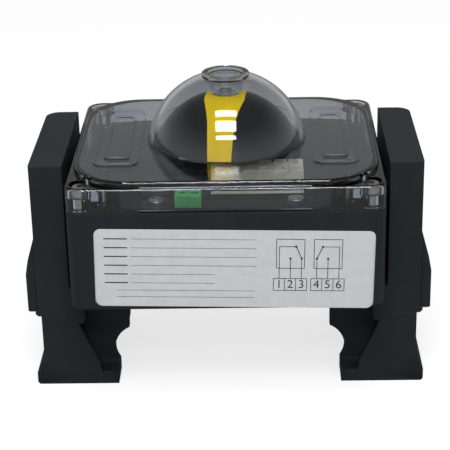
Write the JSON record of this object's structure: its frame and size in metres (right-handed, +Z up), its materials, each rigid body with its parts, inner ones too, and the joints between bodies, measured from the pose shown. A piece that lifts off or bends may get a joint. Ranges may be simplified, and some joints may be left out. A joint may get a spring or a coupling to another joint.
{
  "type": "valve limit switch box",
  "caption": "Compact limit switch box with a clear domed cover and a striped rotary position indicator, on a two-legged actuator bracket.",
  "frame": {"origin": "on the drive shaft's axis, in the plane that the bracket's feet stand on", "axes": "+Z up along the shaft, +X to the right as the front is seen, +Y to the rear, where the cable entries are"},
  "size_m": [0.1728, 0.11, 0.1299],
  "materials": {
    "black_polyamide": "fine matt moulding",
    "bracket_plastic": "matt, glass-filled",
    "clear_polycarbonate": "clear and polished",
    "seal_rubber": "smooth",
    "stainless_steel": "turned and polished",
    "zinc_plated_steel": "bright zinc",
    "spring_steel": "bright strip",
    "brass": "turned",
    "bearing_bronze": "turned",
    "switch_case": "matt",
    "white_acetal": "satin",
    "red_acetal": "satin",
    "green_acetal": "satin",
    "green_plastic": "satin",
    "beige_plastic": "satin",
    "indicator_black": "satin",
    "indicator_yellow": "satin"
  },
  "bodies": {
    "housing": {"base_housing": "black_polyamide", "clear_cover": "clear_polycarbonate", "cover_seal": "seal_rubber", "cover_screws": "stainless_steel", "cover_screw_inserts": "brass", "shaft_bush": "bearing_bronze", "thrust_washer": "white_acetal", "switch_bracket": "zinc_plated_steel", "bracket_screws": "zinc_plated_steel", "bottom_switch": "switch_case", "top_switch": "switch_case", "switch_spacer": "white_acetal", "switch_screws": "zinc_plated_steel", "switch_terminals": "brass", "lever_pins": "stainless_steel", "terminal_stand": "black_polyamide", "stand_screws": "zinc_plated_steel", "terminal_strip": "beige_plastic", "terminal_screws": "zinc_plated_steel", "earth_terminal": "green_plastic", "earth_screws": "zinc_plated_steel", "bracket_arm_left": "bracket_plastic", "bracket_arm_right": "bracket_plastic", "bracket_foot_left": "bracket_plastic", "bracket_foot_right": "bracket_plastic", "arm_screws": "stainless_steel", "saddle_screws": "stainless_steel"},
    "rotor": {"drive_shaft": "stainless_steel", "shaft_o_rings": "seal_rubber", "retaining_ring": "spring_steel", "cam_sleeve": "white_acetal", "bottom_cam": "red_acetal", "top_cam": "green_acetal", "cam_spring": "spring_steel", "cam_retainer": "spring_steel", "indicator_dome": "indicator_black", "indicator_stripe": "indicator_yellow", "indicator_screw": "zinc_plated_steel"},
    "bottom_lever": {"bottom_lever": "spring_steel"},
    "top_lever": {"top_lever": "spring_steel"},
    "bottom_plunger": {"bottom_plunger": "red_acetal"},
    "top_plunger": {"top_plunger": "red_acetal"}
  },
  "joints": [
    {"name": "shaft_turn", "type": "hinge", "parent": "housing", "child": "rotor", "pos_m": [0, 0, 0.0484], "axis": [0, 0, 1], "range_deg": [0, 90]},
    {"name": "bottom_lever_swing", "type": "hinge", "parent": "housing", "child": "bottom_lever", "pos_m": [-0.0215, 0.0176, 0.065], "axis": [0, 0, 1], "range_deg": [-4, 0]},
    {"name": "top_lever_swing", "type": "hinge", "parent": "housing", "child": "top_lever", "pos_m": [-0.0215, 0.0176, 0.0755], "axis": [0, 0, 1], "range_deg": [0, 4]},
    {"name": "bottom_plunger_slide", "type": "slide", "parent": "housing", "child": "bottom_plunger", "axis": [0, 1, 0], "range_m": [-0.00067, 0]},
    {"name": "top_plunger_slide", "type": "slide", "parent": "housing", "child": "top_plunger", "axis": [0, 1, 0], "range_m": [0, 0.00067]}
  ],
  "couplings": [
    {"joint": "bottom_lever_swing", "follows": "shaft_turn", "ratio": -0.044416},
    {"joint": "top_lever_swing", "follows": "shaft_turn", "ratio": 0.044416},
    {"joint": "bottom_plunger_slide", "follows": "shaft_turn", "m_per_rad": -0.00042196},
    {"joint": "top_plunger_slide", "follows": "shaft_turn", "m_per_rad": 0.00042196}
  ]
}
